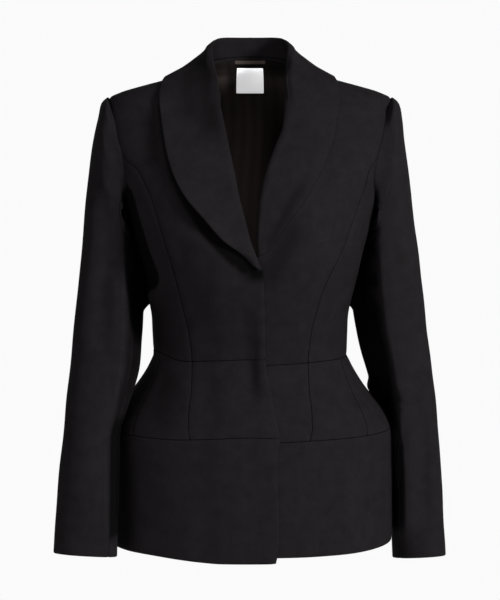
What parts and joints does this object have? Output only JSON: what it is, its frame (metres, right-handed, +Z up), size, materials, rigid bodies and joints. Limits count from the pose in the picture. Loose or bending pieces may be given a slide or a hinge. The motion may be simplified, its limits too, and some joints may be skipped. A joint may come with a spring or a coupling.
{
  "type": "jacket",
  "caption": "Hourglass tailored jacket with long sleeves, a one-piece shawl collar, a concealed front and princess seams over a flared yoke and a plain hip band.",
  "frame": {"origin": "midway between the shoulders, level with the side of the neck and midway between front and back, where the wearer's shoulders hold the jacket up", "axes": "+Z up, -Y out of the front, +X towards the wearer's left sleeve"},
  "size_m": [0.528, 0.2655, 0.7154],
  "materials": {
    "wool_crepe": "matt",
    "lining_satin": "satin",
    "label_satin": "satin"
  },
  "bodies": {
    "root": {"front_right": "wool_crepe", "side_right": "wool_crepe", "back_right": "wool_crepe", "yoke_front_right": "wool_crepe", "yoke_side_front_right": "wool_crepe", "yoke_side_right": "wool_crepe", "yoke_back_right": "wool_crepe", "band_front_right": "wool_crepe", "collar_right": "wool_crepe", "sleeve_upper_right": "wool_crepe", "sleeve_under_right": "wool_crepe", "front_left": "wool_crepe", "side_left": "wool_crepe", "back_left": "wool_crepe", "yoke_front_left": "wool_crepe", "yoke_side_front_left": "wool_crepe", "yoke_side_left": "wool_crepe", "yoke_back_left": "wool_crepe", "band_front_left": "wool_crepe", "collar_left": "wool_crepe", "sleeve_upper_left": "wool_crepe", "sleeve_under_left": "wool_crepe", "band_back": "wool_crepe", "back_lining": "lining_satin", "label": "label_satin", "hanger_loop": "lining_satin"}
  },
  "joints": []
}
